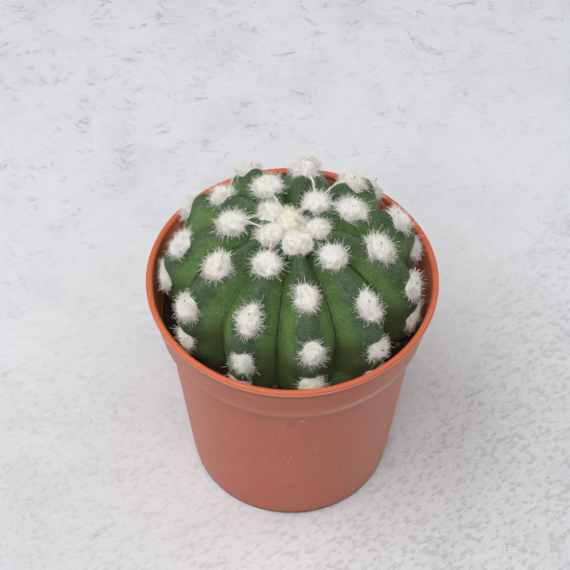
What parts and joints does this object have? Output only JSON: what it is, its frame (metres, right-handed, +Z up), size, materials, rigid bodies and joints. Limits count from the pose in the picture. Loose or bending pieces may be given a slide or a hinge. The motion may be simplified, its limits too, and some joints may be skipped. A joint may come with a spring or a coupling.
{
  "type": "potted echinopsis cactus",
  "caption": "Low globular ribbed cactus with large white wool tufts, growing in a round terracotta-coloured plastic nursery pot with a rolled lip and flared collar.",
  "frame": {"origin": "middle of the pot's foot ring, on the surface that the pot stands on", "axes": "+Z up along the pot's axis; -Y towards the viewer of the picture, +X to the viewer's right"},
  "size_m": [0.085, 0.085, 0.1066],
  "materials": {
    "pot_plastic": "terracotta-coloured moulded plastic, satin, dusty outside with fine pale scratches, cleaner and brighter orange on the lip and inside",
    "potting_mix": "damp near-black peat mix with crumbs, brown bark bits and a few pale grains",
    "cactus_skin": "matt waxy green skin, grey-blue bloom on the rib crests, brighter yellow-green speckled flanks, with matted off-white wool tufts"
  },
  "bodies": {
    "root": {"pot": "pot_plastic", "soil": "potting_mix", "cactus": "cactus_skin"}
  },
  "joints": []
}
